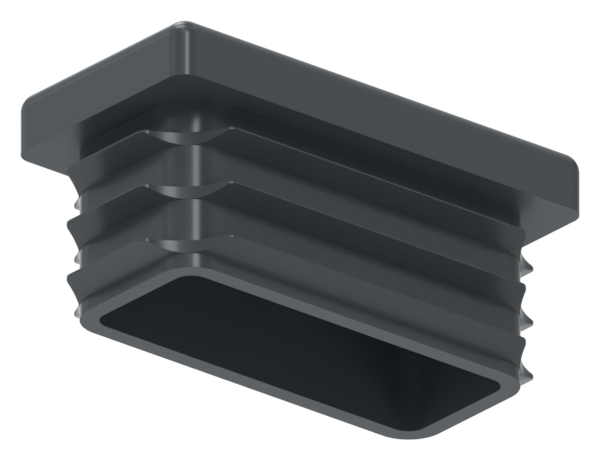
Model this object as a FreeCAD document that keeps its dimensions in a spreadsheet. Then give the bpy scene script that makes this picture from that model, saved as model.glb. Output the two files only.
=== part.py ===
import FreeCAD, Part
import math
import os

from FreeCAD import Vector
from Sketcher import Constraint

# Tube end cap: a finned plug that closes the end of a 40 x 20 mm rectangular tube.
#
# The cap is one moulding. Its head covers the tube's end, its hollow shank goes inside,
# and three thin fins around the shank bend against the tube's wall and hold it there.
# Lengths are in millimetres. The origin is the middle of the seat, which is the underside
# of the head and lies against the tube's end. +Z points out of the tube, through the head,
# +X runs along the long side of the tube and +Y along its short side.

SIZES = {
    # Head
    "head_length": 40.0,  # outside of the tube, long side
    "head_width": 20.0,  # outside of the tube, short side
    "head_height": 5.0,
    "head_corner": 1.6,  # radius of the upright corners, seen from above
    "head_edge": 1.5,  # rounding between the top and the sides
    "edge_spare": 0.05,  # least that the rounding leaves of the corner and of the side
    # Shank
    "seat_width": 2.75,  # ledge of the head that lies on the tube's end
    "shank_corner": 3.0,
    "wall_thick": 1.5,
    "roof_thick": 2.5,  # head that is left above the hollow
    "core_corner": 0.5,  # sharpest corner that the hollow may have
    # Fins
    "fin_count": 3,
    "fin_gap": 2.75,  # from the seat to the flat top of the first fin
    "fin_pitch": 4.5,
    "fin_reach": 2.15,  # from the wall of the shank to the tip
    "fin_lip": 0.135,  # thickness at the tip
    "fin_root": 1.07,  # thickness at the wall
    "lead_in": 1.18,  # bare shank below the last fin
    # Scoops that open the fins at the corners
    "scoop_radius": 7.0,
    "scoop_bite": 0.02,  # how far the scoop grazes the shank's round corner
    "scoop_round": 0.9,  # rounding between the scoop and the tip
}

# Sizes that follow from the ones above, as the features read them
SHANK_LENGTH = "(Sizes.head_length - 2 * Sizes.seat_width)"
SHANK_WIDTH = "(Sizes.head_width - 2 * Sizes.seat_width)"
SHANK_CORNER = "Sizes.shank_corner"
SHANK_DEPTH = "(Sizes.fin_gap + (Sizes.fin_count - 1) * Sizes.fin_pitch + Sizes.fin_root + Sizes.lead_in)"
FIN_LENGTH = f"({SHANK_LENGTH} + 2 * Sizes.fin_reach)"
FIN_WIDTH = f"({SHANK_WIDTH} + 2 * Sizes.fin_reach)"
FIN_CORNER = "(Sizes.shank_corner + Sizes.fin_reach)"
CORE_LENGTH = f"({SHANK_LENGTH} - 2 * Sizes.wall_thick)"
CORE_WIDTH = f"({SHANK_WIDTH} - 2 * Sizes.wall_thick)"
CORE_CORNER = "max(Sizes.shank_corner - Sizes.wall_thick; Sizes.core_corner)"
HEAD_EDGE = "min(Sizes.head_edge; Sizes.head_corner - Sizes.edge_spare; Sizes.head_height - Sizes.edge_spare)"

# Points of a sketched edge, and the sketch's own origin, as constraints number them
START, END, CENTRE = 1, 2, 3
ORIGIN = (-1, 1)


def make_sheet(doc):
    """Put the driving sizes in the sheet that every feature reads."""
    sheet = doc.addObject("Spreadsheet::Sheet", "Sizes")
    for row, (name, size) in enumerate(SIZES.items(), start=1):
        sheet.set(f"A{row}", name)
        sheet.set(f"B{row}", str(size))
        sheet.setAlias(f"B{row}", name)
    doc.recompute()
    return sheet


def origin_feature(body, role):
    """Return one of the body's own origin planes or axes."""
    return next(item for item in body.Origin.OriginFeatures if item.Role == role)


def level_sketch(body, name, level):
    """Start a level sketch, drawn from above at the height that an expression gives."""
    sketch = body.newObject("Sketcher::SketchObject", name)
    sketch.AttachmentSupport = [(origin_feature(body, "XY_Plane"), "")]
    sketch.MapMode = "FlatFace"
    sketch.setExpression("AttachmentOffset.Base.z", level)
    return sketch


def line(sketch, start, end):
    """Draw a straight edge and return its number."""
    return sketch.addGeometry(Part.LineSegment(Vector(*start), Vector(*end)))


def arc(sketch, centre, radius, first, last):
    """Draw an arc, anticlockwise between two angles, and return its number."""
    circle = Part.Circle(Vector(*centre), Vector(0, 0, 1), radius)
    return sketch.addGeometry(Part.ArcOfCircle(circle, first, last))


def drive(sketch, kind, reference, name, expression):
    """Add a constraint of a stated size and bind it to an expression."""
    index = sketch.addConstraint(Constraint(kind, *reference, float(sketch.evalExpression(expression))))
    sketch.renameConstraint(index, name)
    sketch.setExpression(f"Constraints.{name}", expression)


def rounded_rectangle(sketch, length, width, corner):
    """Draw a rectangle with round corners about the origin, its sizes bound to expressions."""
    half_x = float(sketch.evalExpression(length)) / 2
    half_y = float(sketch.evalExpression(width)) / 2
    radius = float(sketch.evalExpression(corner))
    in_x = half_x - radius
    in_y = half_y - radius
    quarter = math.pi / 2
    front = line(sketch, (-in_x, -half_y), (in_x, -half_y))
    front_right = arc(sketch, (in_x, -in_y), radius, -quarter, 0)
    right = line(sketch, (half_x, -in_y), (half_x, in_y))
    back_right = arc(sketch, (in_x, in_y), radius, 0, quarter)
    back = line(sketch, (in_x, half_y), (-in_x, half_y))
    back_left = arc(sketch, (-in_x, in_y), radius, quarter, 2 * quarter)
    left = line(sketch, (-half_x, in_y), (-half_x, -in_y))
    front_left = arc(sketch, (-in_x, -in_y), radius, 2 * quarter, 3 * quarter)
    ring = [front, front_right, right, back_right, back, back_left, left, front_left]
    for edge, following in zip(ring, ring[1:] + ring[:1]):
        sketch.addConstraint(Constraint("Tangent", edge, END, following, START))
    for edge in (front, back):
        sketch.addConstraint(Constraint("Horizontal", edge))
    for edge in (right, left):
        sketch.addConstraint(Constraint("Vertical", edge))
    for edge in (back_right, back_left, front_left):
        sketch.addConstraint(Constraint("Equal", front_right, edge))
    sketch.addConstraint(Constraint("Symmetric", front_left, CENTRE, back_right, CENTRE, *ORIGIN))
    drive(sketch, "DistanceX", (left, START, right, START), "length", length)
    drive(sketch, "DistanceY", (front, START, back, START), "width", width)
    drive(sketch, "Radius", (front_right,), "corner", corner)


def corner_scoop(sketch):
    """Draw what is cut from the fins at the back right corner.

    The scoop is an arc that hollows the corner, with its centre on the corner's diagonal,
    outside the cap. A small arc at each of its ends rounds the way to the straight tip.
    The rest of the outline runs clear of the fin.
    """
    reach = "(Sizes.shank_corner - Sizes.scoop_bite + Sizes.scoop_radius) * sqrt(0.5)"
    scoop_x = f"{SHANK_LENGTH} / 2 - Sizes.shank_corner + {reach}"
    scoop_y = f"{SHANK_WIDTH} / 2 - Sizes.shank_corner + {reach}"
    tip_x = f"{FIN_LENGTH} / 2"
    tip_y = f"{FIN_WIDTH} / 2"
    clear_x = f"{tip_x} + Sizes.fin_reach"
    clear_y = f"{tip_y} + Sizes.fin_reach"

    centre_x, centre_y, edge_x, edge_y, far_x, far_y = (
        float(sketch.evalExpression(size)) for size in (scoop_x, scoop_y, tip_x, tip_y, clear_x, clear_y)
    )
    radius = SIZES["scoop_radius"]
    rounding = SIZES["scoop_round"]
    # The small arcs touch the tip from inside and the scoop from outside
    round_x = edge_x - rounding
    round_y = edge_y - rounding
    end_y = centre_y - math.sqrt((radius + rounding) ** 2 - (centre_x - round_x) ** 2)
    end_x = centre_x - math.sqrt((radius + rounding) ** 2 - (centre_y - round_y) ** 2)
    turn_right = math.atan2(centre_y - end_y, centre_x - round_x)
    turn_back = math.atan2(centre_y - round_y, centre_x - end_x)

    right_round = arc(sketch, (round_x, end_y), rounding, 0, turn_right)
    scoop = arc(sketch, (centre_x, centre_y), radius, math.pi + turn_back, math.pi + turn_right)
    back_round = arc(sketch, (end_x, round_y), rounding, turn_back, math.pi / 2)
    out_back = line(sketch, (end_x, edge_y), (end_x, far_y))
    far_back = line(sketch, (end_x, far_y), (far_x, far_y))
    far_right = line(sketch, (far_x, far_y), (far_x, end_y))
    in_right = line(sketch, (far_x, end_y), (edge_x, end_y))

    sketch.addConstraint(Constraint("Tangent", right_round, END, scoop, END))
    sketch.addConstraint(Constraint("Tangent", scoop, START, back_round, START))
    ring = [back_round, out_back, far_back, far_right, in_right, right_round]
    for edge, following in zip(ring, ring[1:]):
        sketch.addConstraint(Constraint("Coincident", edge, END, following, START))
    for edge in (far_back, in_right):
        sketch.addConstraint(Constraint("Horizontal", edge))
    for edge in (out_back, far_right):
        sketch.addConstraint(Constraint("Vertical", edge))
    sketch.addConstraint(Constraint("Horizontal", right_round, CENTRE, right_round, START))
    sketch.addConstraint(Constraint("Vertical", back_round, CENTRE, back_round, END))
    sketch.addConstraint(Constraint("Equal", right_round, back_round))
    drive(sketch, "Radius", (right_round,), "rounding", "Sizes.scoop_round")
    drive(sketch, "Radius", (scoop,), "radius", "Sizes.scoop_radius")
    drive(sketch, "DistanceX", (*ORIGIN, scoop, CENTRE), "scoop_x", scoop_x)
    drive(sketch, "DistanceY", (*ORIGIN, scoop, CENTRE), "scoop_y", scoop_y)
    drive(sketch, "DistanceX", (*ORIGIN, right_round, START), "tip_x", tip_x)
    drive(sketch, "DistanceY", (*ORIGIN, back_round, END), "tip_y", tip_y)
    drive(sketch, "DistanceX", (*ORIGIN, far_right, START), "clear_x", clear_x)
    drive(sketch, "DistanceY", (*ORIGIN, far_right, START), "clear_y", clear_y)


def extrude(body, kind, name, sketch, length, downwards):
    """Pad or pocket a sketch by a length given as an expression."""
    feature = body.newObject(f"PartDesign::{kind}", name)
    feature.Profile = sketch
    # A pocket cuts against its sketch's normal unless it is reversed
    feature.Reversed = downwards if kind == "Pad" else not downwards
    feature.setExpression("Length", length)
    sketch.Visibility = False
    return feature


def repeat_down(body, name):
    """Start the pattern that sets the fins one pitch apart, down the shank."""
    pattern = body.newObject("PartDesign::LinearPattern", name)
    pattern.Direction = (origin_feature(body, "Z_Axis"), [""])
    pattern.Reversed = True
    pattern.Mode = "Spacing"
    pattern.setExpression("Offset", "Sizes.fin_pitch")
    pattern.setExpression("Occurrences", "Sizes.fin_count")
    return pattern


def make_head(doc, body):
    """Head: a block with round corners, its top edge rounded and its lower edge sharp."""
    outline = level_sketch(body, "head_outline", "0")
    rounded_rectangle(outline, "Sizes.head_length", "Sizes.head_width", "Sizes.head_corner")
    block = extrude(body, "Pad", "head_block", outline, "Sizes.head_height", downwards=False)
    doc.recompute()
    faces = block.Shape.Faces
    top = max(range(len(faces)), key=lambda number: faces[number].CenterOfMass.z)
    rounding = body.newObject("PartDesign::Fillet", "head_rounding")
    rounding.Base = (block, [f"Face{top + 1}"])
    rounding.setExpression("Radius", HEAD_EDGE)


def make_shank(body):
    """Shank: a straight block below the seat, hollowed out once the fins are on it."""
    outline = level_sketch(body, "shank_outline", "0")
    rounded_rectangle(outline, SHANK_LENGTH, SHANK_WIDTH, SHANK_CORNER)
    extrude(body, "Pad", "shank_block", outline, SHANK_DEPTH, downwards=True)


def make_fins(body):
    """Fins: flat above and sloping below, from a thin tip in to a thick root."""
    lip_outline = level_sketch(body, "fin_lip_outline", "-Sizes.fin_gap")
    rounded_rectangle(lip_outline, FIN_LENGTH, FIN_WIDTH, FIN_CORNER)
    lip = extrude(body, "Pad", "fin_lip", lip_outline, "Sizes.fin_lip", downwards=True)

    slope_outline = level_sketch(body, "fin_slope_outline", "-(Sizes.fin_gap + Sizes.fin_lip)")
    rounded_rectangle(slope_outline, FIN_LENGTH, FIN_WIDTH, FIN_CORNER)
    root_outline = level_sketch(body, "fin_root_outline", "-(Sizes.fin_gap + Sizes.fin_root)")
    rounded_rectangle(root_outline, SHANK_LENGTH, SHANK_WIDTH, SHANK_CORNER)
    slope = body.newObject("PartDesign::AdditiveLoft", "fin_slope")
    slope.Profile = slope_outline
    slope.Sections = [root_outline]
    slope.Ruled = True

    fins = repeat_down(body, "fins")
    fins.Originals = [lip, slope]
    body.Tip = fins


def make_scoops(body):
    """Scoops: each fin is hollowed at its four corners, so that it can bend there."""
    outline = level_sketch(body, "scoop_outline", "-Sizes.fin_gap")
    corner_scoop(outline)
    scoop = extrude(body, "Pocket", "fin_scoop", outline, "Sizes.fin_root", downwards=True)

    scoops = body.newObject("PartDesign::MultiTransform", "scoops")
    scoops.Originals = [scoop]
    to_left = body.newObject("PartDesign::Mirrored", "scoop_to_left")
    to_left.MirrorPlane = (origin_feature(body, "YZ_Plane"), [""])
    to_front = body.newObject("PartDesign::Mirrored", "scoop_to_front")
    to_front.MirrorPlane = (origin_feature(body, "XZ_Plane"), [""])
    scoops.Transformations = [to_left, to_front, repeat_down(body, "scoop_down")]
    body.Tip = scoops


def make_hollow(body):
    """Hollow: open at the mouth of the shank and closed by the head."""
    outline = level_sketch(body, "hollow_outline", f"-{SHANK_DEPTH}")
    rounded_rectangle(outline, CORE_LENGTH, CORE_WIDTH, CORE_CORNER)
    depth = f"{SHANK_DEPTH} + Sizes.head_height - Sizes.roof_thick"
    hollow = extrude(body, "Pocket", "hollow", outline, depth, downwards=False)
    body.Tip = hollow


def check(doc, body):
    """Stop before anything is written if a feature has failed."""
    for item in doc.Objects:
        if {"Invalid", "Error"} & set(item.State):
            raise RuntimeError(f"{item.Name} is {item.State}")
    shape = body.Shape
    if shape.isNull() or not shape.isValid() or len(shape.Solids) != 1:
        raise RuntimeError(f"{body.Label} is not one valid solid")


doc = FreeCAD.newDocument("TubeEndCap")
make_sheet(doc)
end_cap = doc.addObject("PartDesign::Body", "end_cap")
end_cap.Label = "end_cap"
make_head(doc, end_cap)
make_shank(end_cap)
make_fins(end_cap)
make_scoops(end_cap)
make_hollow(end_cap)
doc.recompute()
check(doc, end_cap)

os.makedirs("parts", exist_ok=True)
end_cap.Shape.exportStep(f"parts/{end_cap.Label}.step")
box = end_cap.Shape.BoundBox
print(f"{end_cap.Label}: {box.XLength:.2f} x {box.YLength:.2f} x {box.ZLength:.2f} mm, "
      f"{end_cap.Shape.Volume / 1000:.3f} cm3, {len(end_cap.Shape.Faces)} faces")
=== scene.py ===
"""Looks of a push-in end cap for a rectangular tube.

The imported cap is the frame. The moulding that stands for it here has the same sizes, and
adds what a mould gives and the solid leaves out: a small rounding on every sharp edge, an
even fine grain and a slight unevenness of tint and gloss.

Lengths in the dataclasses are in millimetres unless they say metres, angles are in
degrees, and the meshes are in metres. The origin is the middle of the seat, +Z points out
of the tube through the head and +X runs along the tube's long side. Compass angles run
from +X towards +Y.
"""

import logging
import math
from dataclasses import dataclass, field
from enum import Enum
from typing import NamedTuple

import bmesh
import bpy
from mathutils import Matrix, Vector


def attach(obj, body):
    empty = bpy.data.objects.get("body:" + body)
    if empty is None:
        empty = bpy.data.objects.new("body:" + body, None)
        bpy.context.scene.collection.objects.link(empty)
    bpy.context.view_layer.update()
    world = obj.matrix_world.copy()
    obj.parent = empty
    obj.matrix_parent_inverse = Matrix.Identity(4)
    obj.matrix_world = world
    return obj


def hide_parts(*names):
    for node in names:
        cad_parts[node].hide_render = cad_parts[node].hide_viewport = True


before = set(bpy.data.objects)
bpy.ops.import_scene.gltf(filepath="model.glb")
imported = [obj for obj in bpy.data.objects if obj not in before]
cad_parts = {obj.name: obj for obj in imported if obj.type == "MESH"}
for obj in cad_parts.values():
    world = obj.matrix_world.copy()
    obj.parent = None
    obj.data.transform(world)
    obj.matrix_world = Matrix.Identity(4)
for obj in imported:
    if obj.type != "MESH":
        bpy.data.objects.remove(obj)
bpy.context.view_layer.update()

log = logging.getLogger("end_cap")

MM = 0.001
WHITE = (1.0, 1.0, 1.0, 1.0)
CAP_NODE = "end_cap"
CAP_SLOT = "cap_plastic"
CAP_BODY = "root"


def compass(azimuth: float, elevation: float) -> Vector:
    """Turn a compass angle and a height angle into a direction.

    Args:
        azimuth: Degrees from +X towards +Y.
        elevation: Degrees above the level plane.

    Returns:
        The unit vector that points that way.
    """
    turn, rise = math.radians(azimuth), math.radians(elevation)
    return Vector((math.cos(turn) * math.cos(rise), math.sin(turn) * math.cos(rise), math.sin(rise)))


class Level(Enum):
    """Outline that a ring of the moulding follows in plan."""

    HEAD = "head"
    SHANK = "shank"
    CORE = "core"


@dataclass(frozen=True)
class Outline:
    """Rectangle with round corners about the middle of the cap, seen from above.

    Attributes:
        length: Size along X.
        width: Size along Y.
        corner: Radius of its corners.
    """

    length: float
    width: float
    corner: float

    def inset(self, margin: float) -> "Outline":
        """Give the outline that runs a margin inside this one.

        Args:
            margin: Distance between the two outlines.

        Returns:
            The inner outline, with the same centres for its corners.
        """
        return Outline(self.length - 2 * margin, self.width - 2 * margin, self.corner - margin)

    def ridge(self) -> float:
        """Give half the length of the ridge that a hip roof over the outline has."""
        return (self.length - self.width) / 2


@dataclass(frozen=True)
class Column:
    """Line down the moulding, at one place of a quarter of its outlines.

    Attributes:
        angle: Direction outwards, from 0 on the short side to 90 on the long side.
        shift: Distance back along the side from the start of the corner.
        reach: How far the fins stand out from the shank here.
        tip_angle: Direction that the fins' tips face here.
        middle: Whether the column runs down the middle of the side.
    """

    angle: float
    shift: float
    reach: float
    tip_angle: float
    middle: bool = False

    DIAGONAL = 45.0  # direction of the middle of a corner

    def mirrored(self) -> "Column":
        """Give the column at the same place on the other side of the corner's diagonal."""
        across = 2 * self.DIAGONAL
        return Column(across - self.angle, self.shift, self.reach, across - self.tip_angle, self.middle)

    def place(self, outline: Outline, push: float) -> tuple[float, float]:
        """Find the column's point on an outline.

        Args:
            outline: The outline that the ring follows.
            push: Distance outwards from it.

        Returns:
            The x and y of the point.
        """
        turn = math.radians(self.angle)
        radius = outline.corner + push
        x = outline.length / 2 - outline.corner + radius * math.cos(turn)
        y = outline.width / 2 - outline.corner + radius * math.sin(turn)
        if self.angle < self.DIAGONAL:
            return x, 0.0 if self.middle else y - self.shift
        return 0.0 if self.middle else x - self.shift, y


class SkinPoint(NamedTuple):
    """Point of the moulding's skin, and the direction that the skin faces there."""

    place: Vector
    normal: Vector


@dataclass(frozen=True)
class Turn:
    """Corner of the moulding's section, rounded between two straight runs.

    Attributes:
        level: Outline that the corner follows.
        height: Height above the seat.
        arrive: Direction of the run before the corner, outwards and upwards.
        leave: Direction of the run after it.
        radius: Radius of the rounding.
        steps: Straight pieces that make up the rounding.
        on_fin: Whether the corner is a fin's tip or root, where the rounding has less room.
        out: Share of the fin's reach by which the corner stands out.
        rise: Height gained for each unit of the fin's reach.
        tip_facing: Shares by which the rounding's start and end face as the fins' tips do.
    """

    level: Level
    height: float
    arrive: tuple[float, float]
    leave: tuple[float, float]
    radius: float
    steps: int = 2
    on_fin: bool = False
    out: float = 0.0
    rise: float = 0.0
    tip_facing: tuple[float, float] = (0.0, 0.0)

    FIN_SHARE = 0.4  # most of a fin's reach that its rounding takes up

    def follow(self, column: Column, outline: Outline) -> list[SkinPoint]:
        """Follow the rounding at one column.

        Args:
            column: The column that crosses the corner.
            outline: The outline of the corner's level.

        Returns:
            The points of the rounding, in the order of the section.
        """
        # Directions in the section have outwards as their x and upwards as their y
        radius = min(self.radius, self.FIN_SHARE * column.reach) if self.on_fin else self.radius
        first = Vector(self.arrive).normalized()
        bend = first.angle_signed(Vector(self.leave).normalized())
        side = math.copysign(1.0, -bend)
        outward = Vector((-first.y, first.x))
        centre = (outward * side - first * math.tan(abs(bend) / 2)) * radius
        points = []
        for step in range(self.steps + 1):
            share = step / self.steps
            facing = Matrix.Rotation(side * abs(bend) * share, 2) @ outward
            push, lift = centre - facing * side * radius
            push += self.out * column.reach
            height = self.height + self.rise * column.reach + lift
            tip_share = self.tip_facing[0] + (self.tip_facing[1] - self.tip_facing[0]) * share
            turn = math.radians(column.angle + (column.tip_angle - column.angle) * tip_share)
            normal = Vector((facing.x * math.cos(turn), facing.x * math.sin(turn), facing.y))
            points.append(SkinPoint(Vector((*column.place(outline, push), height)), normal))
        return points


@dataclass(frozen=True)
class Fins:
    """The thin fins round the shank, and the scoops that open them at the corners.

    Attributes:
        count: Number of fins.
        gap: Distance from the seat down to the flat top of the first fin.
        pitch: Distance from one fin to the next.
        reach: How far the straight fins stand out from the shank.
        lip: Thickness of a fin at its tip.
        root: Thickness of a fin at the shank.
        tip_edge: Radius of the roundings at a fin's tip and root.
        scoop_radius: Radius of the scoop at each corner.
        scoop_web: What the scoop leaves of the fin on the corner's diagonal.
        scoop_round: Radius of the rounding between the scoop and the straight tip.
        round_steps: Straight pieces that make up that rounding.
        scoop_steps: Straight pieces that make up the scoop as far as the diagonal.
    """

    count: int = 3
    gap: float = 2.75
    pitch: float = 4.5
    reach: float = 2.15
    lip: float = 0.135
    root: float = 1.07
    tip_edge: float = 0.035
    scoop_radius: float = 7.0
    scoop_web: float = 0.02
    scoop_round: float = 0.9
    round_steps: int = 8
    scoop_steps: int = 11

    def columns(self, shank_corner: float) -> list[Column]:
        """Place the columns of a quarter, close together where the fins' outline curves.

        Args:
            shank_corner: Radius of the shank's corner, about whose centre this measures.

        Returns:
            The columns from the middle of the short side to the middle of the long side.
        """
        diagonal = math.radians(Column.DIAGONAL)
        tip = shank_corner + self.reach - self.scoop_round
        scoop = (shank_corner + self.scoop_web + self.scoop_radius) * math.cos(diagonal)
        start = scoop - math.sqrt((self.scoop_radius + self.scoop_round) ** 2 - (scoop - tip) ** 2)
        swing = math.atan2(scoop - start, scoop - tip)
        outline = []
        for step in range(self.round_steps + 1):
            turn = swing * step / self.round_steps
            across = tip + self.scoop_round * math.cos(turn)
            along = start + self.scoop_round * math.sin(turn)
            outline.append((across, along, turn))
        for step in range(1, self.scoop_steps + 1):
            turn = swing + (diagonal - swing) * step / self.scoop_steps
            across = scoop - self.scoop_radius * math.cos(turn)
            along = scoop - self.scoop_radius * math.sin(turn)
            outline.append((across, along, turn))

        half = [Column(0.0, 0.0, self.reach, 0.0, middle=True)]
        for across, along, turn in outline:
            tip_angle = math.degrees(turn)
            if along < 0.0:
                half.append(Column(0.0, -along, across - shank_corner, tip_angle))
            else:
                angle = math.degrees(math.atan2(along, across))
                half.append(Column(angle, 0.0, math.hypot(across, along) - shank_corner, tip_angle))
        return half + [column.mirrored() for column in reversed(half[:-1])]

    def turns(self) -> list[Turn]:
        """List the corners of every fin's section.

        Returns:
            Four corners for each fin, from the top fin down.
        """
        slope = (self.root - self.lip) / self.reach
        down, out, back = (0.0, -1.0), (1.0, 0.0), (-1.0, -slope)
        corners = []
        for number in range(self.count):
            top = -(self.gap + number * self.pitch)
            foot = top - self.root
            corners += [
                Turn(Level.SHANK, top, down, out, self.tip_edge, on_fin=True),
                Turn(
                    Level.SHANK, top, out, down, self.tip_edge, on_fin=True, out=1.0,
                    tip_facing=(1.0, 1.0),
                ),
                Turn(
                    Level.SHANK, foot, down, back, self.tip_edge, on_fin=True, out=1.0, rise=slope,
                    tip_facing=(1.0, 0.0),
                ),
                Turn(Level.SHANK, foot, back, down, self.tip_edge, on_fin=True),
            ]
        return corners


@dataclass(frozen=True)
class MouldedPlastic:
    """Satin dark grey plastic from a finely eroded mould, a little blue in the light.

    Attributes:
        name: Name of the material.
        colour: Base colour in linear light.
        roughness: Middle value of the roughness.
        specular: Strength of the mirroring, where 0.5 is what the refraction gives by itself.
        refraction: Index of refraction.
        grain_size: Width of a spot of the grain.
        grain_depth: Depth of the grain.
        grain_detail: Number of finer layers in the grain.
        flow_size: Width of a spot of the unevenness.
        flow_detail: Number of finer layers in it.
        flow_tint: Share of the colour that a spot adds or takes away.
        flow_gloss: Roughness that a spot adds or takes away.
    """

    name: str = CAP_SLOT
    colour: tuple[float, float, float] = (0.0675, 0.0827, 0.0949)
    roughness: float = 0.24
    specular: float = 0.368
    refraction: float = 1.5
    grain_size: float = 0.11
    grain_depth: float = 0.0004
    grain_detail: float = 2.0
    flow_size: float = 5.0
    flow_detail: float = 3.0
    flow_tint: float = 0.03
    flow_gloss: float = 0.02

    NOISE_MIDDLE = (0.3, 0.7)  # values that a noise pattern mostly lies between

    def build(self) -> bpy.types.Material:
        """Make the material.

        Returns:
            A material whose grain, tint and gloss follow the piece's own coordinates.
        """
        material = bpy.data.materials.new(self.name)
        material.use_nodes = True
        tree = material.node_tree
        shader = tree.nodes["Principled BSDF"]
        shader.inputs["IOR"].default_value = self.refraction
        shader.inputs["Specular IOR Level"].default_value = self.specular
        place = tree.nodes.new("ShaderNodeTexCoord").outputs["Object"]

        flow = self._noise(tree, place, self.flow_size, self.flow_detail)
        tint = self._range(tree, flow, 1.0, self.flow_tint)
        shade = tree.nodes.new("ShaderNodeMix")
        shade.data_type = "RGBA"
        shade.blend_type = "MULTIPLY"
        shade.inputs["Factor"].default_value = 1.0
        shade.inputs["A"].default_value = (*self.colour, 1.0)
        tree.links.new(tint, shade.inputs["B"])
        tree.links.new(shade.outputs["Result"], shader.inputs["Base Color"])

        gloss = self._range(tree, flow, self.roughness, self.flow_gloss)
        tree.links.new(gloss, shader.inputs["Roughness"])

        grain = self._noise(tree, place, self.grain_size, self.grain_detail)
        relief = tree.nodes.new("ShaderNodeBump")
        relief.inputs["Strength"].default_value = 1.0
        relief.inputs["Distance"].default_value = self.grain_depth * MM
        tree.links.new(grain, relief.inputs["Height"])
        tree.links.new(relief.outputs["Normal"], shader.inputs["Normal"])
        return material

    @staticmethod
    def _noise(
        tree: bpy.types.NodeTree, place: bpy.types.NodeSocket, size: float, detail: float
    ) -> bpy.types.NodeSocket:
        """Add a noise pattern.

        Args:
            tree: The material's nodes.
            place: Coordinates that the pattern follows.
            size: Width of a spot of the pattern.
            detail: Number of finer layers in it.

        Returns:
            The pattern's value.
        """
        noise = tree.nodes.new("ShaderNodeTexNoise")
        noise.inputs["Scale"].default_value = 1.0 / (size * MM)
        noise.inputs["Detail"].default_value = detail
        tree.links.new(place, noise.inputs["Vector"])
        return noise.outputs["Fac"]

    def _range(
        self, tree: bpy.types.NodeTree, value: bpy.types.NodeSocket, middle: float, swing: float
    ) -> bpy.types.NodeSocket:
        """Stretch a pattern's middle values over a range.

        Args:
            tree: The material's nodes.
            value: The pattern's value.
            middle: Middle of the range.
            swing: What a spot of the pattern adds to the middle or takes from it.

        Returns:
            The stretched value.
        """
        low, high = self.NOISE_MIDDLE
        stretch = tree.nodes.new("ShaderNodeMapRange")
        stretch.inputs["From Min"].default_value = low
        stretch.inputs["From Max"].default_value = high
        stretch.inputs["To Min"].default_value = middle - swing
        stretch.inputs["To Max"].default_value = middle + swing
        tree.links.new(value, stretch.inputs["Value"])
        return stretch.outputs["Result"]


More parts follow.
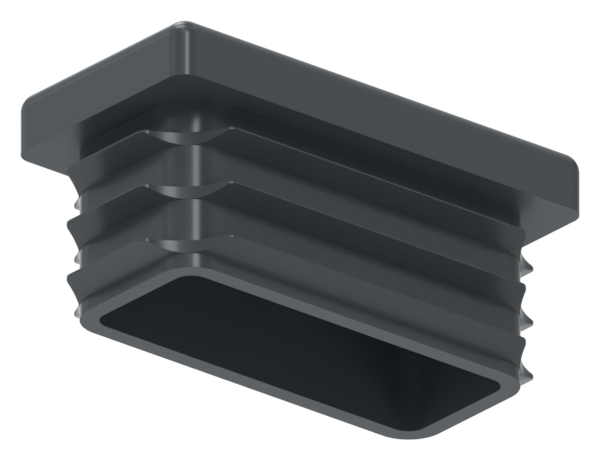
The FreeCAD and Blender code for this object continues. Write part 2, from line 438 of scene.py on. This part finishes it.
@dataclass
class Moulding:
    """The cap as it leaves the mould: head, hollow shank and fins in one skin.

    Attributes:
        head: Outline of the head.
        head_height: Height of the head above the seat.
        head_edge: Radius of the rounding round the head's top.
        head_steps: Straight pieces that make up that rounding.
        seat_width: Width of the flat seat round the shank.
        shank_corner: Radius of the shank's upright corners.
        shank_depth: Depth of the shank below the seat.
        wall_thick: Thickness of the shank's wall.
        roof_thick: Thickness of the head above the hollow.
        small_edge: Radius of the rounding on the sharp edges of the head and the shank.
        fins: The fins round the shank.
        finish: The plastic.
    """

    head: Outline = Outline(40.0, 20.0, 1.6)
    head_height: float = 5.0
    head_edge: float = 1.5
    head_steps: int = 14
    seat_width: float = 2.75
    shank_corner: float = 3.0
    shank_depth: float = 14.0
    wall_thick: float = 1.5
    roof_thick: float = 2.5
    small_edge: float = 0.02
    fins: Fins = field(default_factory=Fins)
    finish: MouldedPlastic = field(default_factory=MouldedPlastic)

    NAME = "end_cap_moulding"
    FACING = "facing"  # layer that holds the direction the skin faces at each point
    SAME_PLACE = 1e-7  # metres between points that are one

    def outlines(self) -> dict[Level, Outline]:
        """Give the outline of each level.

        Returns:
            The outlines of the head, the shank and the hollow, by their levels.
        """
        length = self.head.length - 2 * self.seat_width
        width = self.head.width - 2 * self.seat_width
        shank = Outline(length, width, self.shank_corner)
        return {Level.HEAD: self.head, Level.SHANK: shank, Level.CORE: shank.inset(self.wall_thick)}

    def turns(self) -> list[Turn]:
        """List the corners of the section.

        Returns:
            The corners from the head's top edge to the hollow's end.
        """
        up, down, out, back = (0.0, 1.0), (0.0, -1.0), (1.0, 0.0), (-1.0, 0.0)
        rim = -self.shank_depth
        roof = self.head_height - self.roof_thick
        return [
            Turn(Level.HEAD, self.head_height, out, down, self.head_edge, self.head_steps),
            Turn(Level.HEAD, 0.0, down, back, self.small_edge),
            Turn(Level.SHANK, 0.0, back, down, self.small_edge),
            *self.fins.turns(),
            Turn(Level.SHANK, rim, down, back, self.small_edge),
            Turn(Level.CORE, rim, back, up, self.small_edge),
            Turn(Level.CORE, roof, up, back, self.small_edge),
        ]

    def strand(self, column: Column) -> list[SkinPoint]:
        """Follow one column over the whole skin.

        Args:
            column: The column to follow.

        Returns:
            Its points from the middle of the head's top to the middle of the hollow's end.
        """
        outlines = self.outlines()
        strand = [point for turn in self.turns() for point in turn.follow(column, outlines[turn.level])]
        on_long_side = column.angle > Column.DIAGONAL
        ridge = 0.0 if column.middle and on_long_side else self.head.ridge()
        first, last = (
            SkinPoint(Vector((ridge, 0.0, end.place.z)), end.normal) for end in (strand[0], strand[-1])
        )
        return [first, *strand, last]

    def build(self) -> bpy.types.Object:
        """Make the piece: one quarter is drawn as a sheet, and mirrored twice.

        Returns:
            The finished piece, with its material.
        """
        skin = self._quarter()
        for axis in ("X", "Y"):
            whole = skin.verts[:] + skin.edges[:] + skin.faces[:]
            bmesh.ops.mirror(skin, geom=whole, axis=axis, merge_dist=self.SAME_PLACE)
        bmesh.ops.remove_doubles(skin, verts=skin.verts, dist=self.SAME_PLACE)
        bmesh.ops.dissolve_degenerate(skin, edges=skin.edges, dist=self.SAME_PLACE)
        bmesh.ops.recalc_face_normals(skin, faces=skin.faces)
        for face in skin.faces:
            face.smooth = True
        normals = self._normals(skin)
        mesh = bpy.data.meshes.new(self.NAME)
        skin.to_mesh(mesh)
        skin.free()
        mesh.normals_split_custom_set_from_vertices(normals)
        mesh.materials.append(self.finish.build())

        piece = bpy.data.objects.new(self.NAME, mesh)
        bpy.context.scene.collection.objects.link(piece)
        return piece

    def _quarter(self) -> bmesh.types.BMesh:
        """Draw the skin of one quarter as a sheet, with a row of points for each column.

        Returns:
            The sheet, whose points also hold the direction that the skin faces there.
        """
        strands = [self.strand(column) for column in self.fins.columns(self.shank_corner)]
        skin = bmesh.new()
        facing = skin.verts.layers.float_vector.new(self.FACING)
        # The grid's own size doesn't matter, because each of its points is moved
        sheet = bmesh.ops.create_grid(
            skin, x_segments=len(strands[0]) - 1, y_segments=len(strands) - 1, size=self.head.length * MM
        )
        points = (point for strand in strands for point in strand)
        for vertex, point in zip(sheet["verts"], points):
            vertex.co = point.place * MM
            vertex[facing] = point.normal
        return skin

    def _normals(self, skin: bmesh.types.BMesh) -> list[Vector]:
        """Take the directions off the skin, turned over where the skin is mirrored.

        Args:
            skin: The whole skin, which loses the layer that held the directions.

        Returns:
            The direction that the skin faces at each point.
        """
        facing = skin.verts.layers.float_vector[self.FACING]
        normals = []
        for vertex in skin.verts:
            normal = vertex[facing].copy()
            normal.x = -normal.x if vertex.co.x < 0.0 else normal.x
            normal.y = -normal.y if vertex.co.y < 0.0 else normal.y
            normals.append(normal)
        skin.verts.layers.float_vector.remove(facing)
        return normals


@dataclass(frozen=True)
class SoftBox:
    """Rectangular lamp that faces the cap.

    Attributes:
        name: What the lamp is for.
        azimuth: Compass angle of its middle.
        elevation: Height angle of its middle.
        half_width: Angle from its middle to its side, seen from the cap.
        half_height: Angle from its middle to its top.
        brightness: Brightness of its face, where 1 is white.
    """

    name: str
    azimuth: float
    elevation: float
    half_width: float
    half_height: float
    brightness: float

    DISTANCE = 1.0  # metres

    def build(self) -> None:
        """Add the lamp to the scene."""
        width = 2 * self.DISTANCE * math.tan(math.radians(self.half_width))
        height = 2 * self.DISTANCE * math.tan(math.radians(self.half_height))
        lamp = bpy.data.lights.new(self.name, "AREA")
        lamp.shape = "RECTANGLE"
        lamp.size = width
        lamp.size_y = height
        # A square metre of a lamp's face gives off pi times its brightness, in watts
        lamp.energy = self.brightness * math.pi * width * height
        holder = bpy.data.objects.new(self.name, lamp)
        bpy.context.scene.collection.objects.link(holder)
        toward = compass(self.azimuth, self.elevation)
        holder.location = toward * self.DISTANCE
        holder.rotation_euler = toward.to_track_quat("Z", "Y").to_euler()


@dataclass(frozen=True)
class Glow:
    """Soft round patch of light or shade in the surroundings.

    Attributes:
        azimuth: Compass angle of its middle.
        elevation: Height angle of its middle.
        radius: Angle from its middle to where it has faded out.
        brightness: What it adds at its middle, where 1 is white. Shade has it below 0.
    """

    azimuth: float
    elevation: float
    radius: float
    brightness: float

    def add(
        self, tree: bpy.types.NodeTree, direction: bpy.types.NodeSocket, light: bpy.types.NodeSocket
    ) -> bpy.types.NodeSocket:
        """Add the patch to the surroundings.

        Args:
            tree: The world's nodes.
            direction: The direction that is looked in.
            light: Brightness of the surroundings without the patch.

        Returns:
            Their brightness with it.
        """
        toward = tree.nodes.new("ShaderNodeVectorMath")
        toward.operation = "DOT_PRODUCT"
        toward.inputs[1].default_value = compass(self.azimuth, self.elevation)
        tree.links.new(direction, toward.inputs[0])
        away = tree.nodes.new("ShaderNodeMath")
        away.operation = "ARCCOSINE"
        tree.links.new(toward.outputs["Value"], away.inputs[0])
        patch = tree.nodes.new("ShaderNodeMapRange")
        patch.interpolation_type = "SMOOTHSTEP"
        patch.inputs["From Max"].default_value = math.radians(self.radius)
        patch.inputs["To Min"].default_value = self.brightness
        patch.inputs["To Max"].default_value = 0.0
        tree.links.new(away.outputs["Value"], patch.inputs["Value"])
        total = tree.nodes.new("ShaderNodeMath")
        total.operation = "ADD"
        tree.links.new(light, total.inputs[0])
        tree.links.new(patch.outputs["Result"], total.inputs[1])
        return total.outputs["Value"]


@dataclass
class Studio:
    """Pale floor, ground that is white to the camera, and soft light all round.

    Attributes:
        floor_level: Height of the floor.
        surroundings: Brightness against the sine of the height angle, from below to above.
        lamps: The soft lamps.
        glows: The soft patches of light and shade.
        darkest: Brightness that is left where the shade is deepest.
        floor_size: Length of the floor's side.
        floor_colour: Colour of the floor in linear light.
        floor_clear: Radius inside which the floor is whole.
        floor_fades: Radius at which it has faded into the white.
    """

    floor_level: float
    surroundings: tuple[tuple[float, float], ...] = (
        (-1.0, 0.419), (-0.866, 0.305), (-0.643, 0.722), (-0.342, 0.675), (-0.087, 0.623),
        (0.174, 0.21), (0.423, 0.432), (0.643, 0.027), (0.866, 0.741), (1.0, 0.046),
    )
    lamps: tuple[SoftBox, ...] = (
        SoftBox("lamp_overhead", 189.0, 66.5, 16.0, 10.0, 5.3),
        SoftBox("lamp_strip", 242.0, 23.0, 7.4, 10.5, 7.25),
    )
    glows: tuple[Glow, ...] = (
        Glow(227.8, -46.6, 15.1, 7.41),
        Glow(58.1, -59.1, 32.3, 1.23),
        Glow(307.3, -29.2, 15.4, 2.35),
        Glow(121.4, 32.5, 23.0, 0.82),
        Glow(57.6, 28.3, 40.9, 1.0),
        Glow(161.7, 32.3, 19.1, 0.93),
        Glow(301.9, 27.6, 44.3, 1.72),
        Glow(297.0, 14.9, 57.9, -1.51),
        Glow(223.4, 37.0, 11.9, 4.59),
        Glow(246.3, -36.7, 37.3, -1.75),
        Glow(183.1, -23.2, 29.2, -1.75),
        Glow(90.0, 70.0, 18.0, 7.0),
    )
    darkest: float = 0.02
    floor_size: float = 400.0
    floor_colour: tuple[float, float, float] = (0.75, 0.75, 0.75)
    floor_clear: float = 60.0
    floor_fades: float = 150.0

    def build(self) -> None:
        """Add the surroundings, the lamps and the floor to the scene."""
        self._surround()
        for lamp in self.lamps:
            lamp.build()
        floor = self._floor()

    def _surround(self) -> None:
        """Make the world: white to the camera, and soft light and shade to the cap."""
        world = bpy.data.worlds.new("studio")
        bpy.context.scene.world = world
        world.use_nodes = True
        tree = world.node_tree
        tree.nodes.clear()
        direction = tree.nodes.new("ShaderNodeTexCoord").outputs["Generated"]
        brightness = self._gradient(tree, direction)
        for glow in self.glows:
            brightness = glow.add(tree, direction, brightness)
        least = tree.nodes.new("ShaderNodeMath")
        least.operation = "MAXIMUM"
        least.inputs[1].default_value = self.darkest
        tree.links.new(brightness, least.inputs[0])

        seen = tree.nodes.new("ShaderNodeLightPath")
        light = tree.nodes.new("ShaderNodeBackground")
        light.inputs["Color"].default_value = WHITE
        tree.links.new(least.outputs["Value"], light.inputs["Strength"])
        white = tree.nodes.new("ShaderNodeBackground")
        white.inputs["Color"].default_value = WHITE
        either = tree.nodes.new("ShaderNodeMixShader")
        tree.links.new(seen.outputs["Is Camera Ray"], either.inputs["Fac"])
        tree.links.new(light.outputs["Background"], either.inputs[1])
        tree.links.new(white.outputs["Background"], either.inputs[2])
        output = tree.nodes.new("ShaderNodeOutputWorld")
        tree.links.new(either.outputs["Shader"], output.inputs["Surface"])

    def _gradient(
        self, tree: bpy.types.NodeTree, direction: bpy.types.NodeSocket
    ) -> bpy.types.NodeSocket:
        """Add the light that changes with height alone.

        Args:
            tree: The world's nodes.
            direction: The direction that is looked in.

        Returns:
            The brightness in that direction.
        """
        parts = tree.nodes.new("ShaderNodeSeparateXYZ")
        tree.links.new(direction, parts.inputs["Vector"])
        height = tree.nodes.new("ShaderNodeMapRange")
        height.inputs["From Min"].default_value = -1.0
        height.inputs["From Max"].default_value = 1.0
        tree.links.new(parts.outputs["Z"], height.inputs["Value"])
        ramp = tree.nodes.new("ShaderNodeValToRGB")
        stops = ramp.color_ramp.elements
        ready = len(stops)
        for stop, (level, brightness) in enumerate(self.surroundings):
            place = (level + 1.0) / 2
            element = stops[stop] if stop < ready else stops.new(place)
            element.position = place
            element.color = (brightness, brightness, brightness, 1.0)
        tree.links.new(height.outputs["Result"], ramp.inputs["Fac"])
        return ramp.outputs["Color"]

    def _floor(self) -> bpy.types.Object:
        """Make the floor, which only shows from above and fades out round the cap.

        Returns:
            The floor.
        """
        sheet = bmesh.new()
        bmesh.ops.create_grid(sheet, x_segments=1, y_segments=1, size=self.floor_size / 2 * MM)
        bmesh.ops.translate(sheet, verts=sheet.verts, vec=(0.0, 0.0, self.floor_level * MM))
        mesh = bpy.data.meshes.new("floor")
        sheet.to_mesh(mesh)
        sheet.free()
        mesh.materials.append(self._floor_paint())
        floor = bpy.data.objects.new("floor", mesh)
        bpy.context.scene.collection.objects.link(floor)
        # The floor neither lights the cap nor shades it
        floor.visible_diffuse = False
        floor.visible_glossy = False
        floor.visible_transmission = False
        floor.visible_shadow = False
        return floor

    def _floor_paint(self) -> bpy.types.Material:
        """Make the floor's material.

        Returns:
            A matt material that is clear from below and far from the cap.
        """
        material = bpy.data.materials.new("floor")
        material.use_nodes = True
        tree = material.node_tree
        tree.nodes.clear()
        place = tree.nodes.new("ShaderNodeTexCoord").outputs["Object"]
        distance = tree.nodes.new("ShaderNodeVectorMath")
        distance.operation = "LENGTH"
        tree.links.new(place, distance.inputs[0])
        fade = tree.nodes.new("ShaderNodeMapRange")
        fade.interpolation_type = "SMOOTHSTEP"
        fade.inputs["From Min"].default_value = self.floor_clear * MM
        fade.inputs["From Max"].default_value = self.floor_fades * MM
        tree.links.new(distance.outputs["Value"], fade.inputs["Value"])
        below = tree.nodes.new("ShaderNodeNewGeometry")
        clear = tree.nodes.new("ShaderNodeMath")
        clear.operation = "MAXIMUM"
        tree.links.new(fade.outputs["Result"], clear.inputs[0])
        tree.links.new(below.outputs["Backfacing"], clear.inputs[1])
        matt = tree.nodes.new("ShaderNodeBsdfDiffuse")
        matt.inputs["Color"].default_value = (*self.floor_colour, 1.0)
        nothing = tree.nodes.new("ShaderNodeBsdfTransparent")
        either = tree.nodes.new("ShaderNodeMixShader")
        tree.links.new(clear.outputs["Value"], either.inputs["Fac"])
        tree.links.new(matt.outputs["BSDF"], either.inputs[1])
        tree.links.new(nothing.outputs["BSDF"], either.inputs[2])
        output = tree.nodes.new("ShaderNodeOutputMaterial")
        tree.links.new(either.outputs["Shader"], output.inputs["Surface"])
        return material


@dataclass(frozen=True)
class PhotoCamera:
    """Camera that frames the cap as the photograph does, without perspective.

    Attributes:
        azimuth: Compass angle at which the camera stands.
        elevation: Height angle, below the level plane.
        image_width: Width of the picture in pixels.
        image_height: Height of the picture in pixels.
        origin_column: Column of the picture at which the cap's origin shows.
        origin_row: Row of the picture at which it shows.
        pixels_per_mm: Scale of the picture.
        distance: Metres from the cap.
        nearest: Metres from the camera to the nearest thing that can show.
        farthest: Metres from it to the farthest.
    """

    azimuth: float = 230.0
    elevation: float = -25.0
    image_width: float = 600.0
    image_height: float = 460.0
    origin_column: float = 300.03
    origin_row: float = 185.44
    pixels_per_mm: float = 13.246
    distance: float = 0.5
    nearest: float = 0.01
    farthest: float = 10.0

    def build(self) -> None:
        """Add the camera and make it the scene's own."""
        back = compass(self.azimuth, self.elevation)
        right = Vector((0.0, 0.0, 1.0)).cross(back).normalized()
        up = back.cross(right)
        pixel = MM / self.pixels_per_mm
        aside = (self.image_width / 2 - self.origin_column) * pixel
        down = (self.image_height / 2 - self.origin_row) * pixel
        camera = bpy.data.cameras.new("camera")
        camera.type = "ORTHO"
        camera.ortho_scale = self.image_width * pixel
        camera.clip_start = self.nearest
        camera.clip_end = self.farthest
        holder = bpy.data.objects.new("camera", camera)
        bpy.context.scene.collection.objects.link(holder)
        place = right * aside - up * down + back * self.distance
        holder.matrix_world = Matrix.Translation(place) @ Matrix((right, up, back)).transposed().to_4x4()
        bpy.context.scene.camera = holder


def main() -> None:
    """Build the camera, the studio and the cap, and log the moulding's face count."""
    logging.basicConfig(level=logging.INFO, format="%(message)s")
    bpy.context.scene.view_settings.view_transform = "Standard"
    cap = Moulding()
    PhotoCamera().build()
    Studio(floor_level=-cap.shank_depth).build()

    moulding = cap.build()
    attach(moulding, CAP_BODY)
    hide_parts(CAP_NODE)
    log.info("%s: %d faces", moulding.name, len(moulding.data.polygons))


if __name__ == "__main__":
    main()
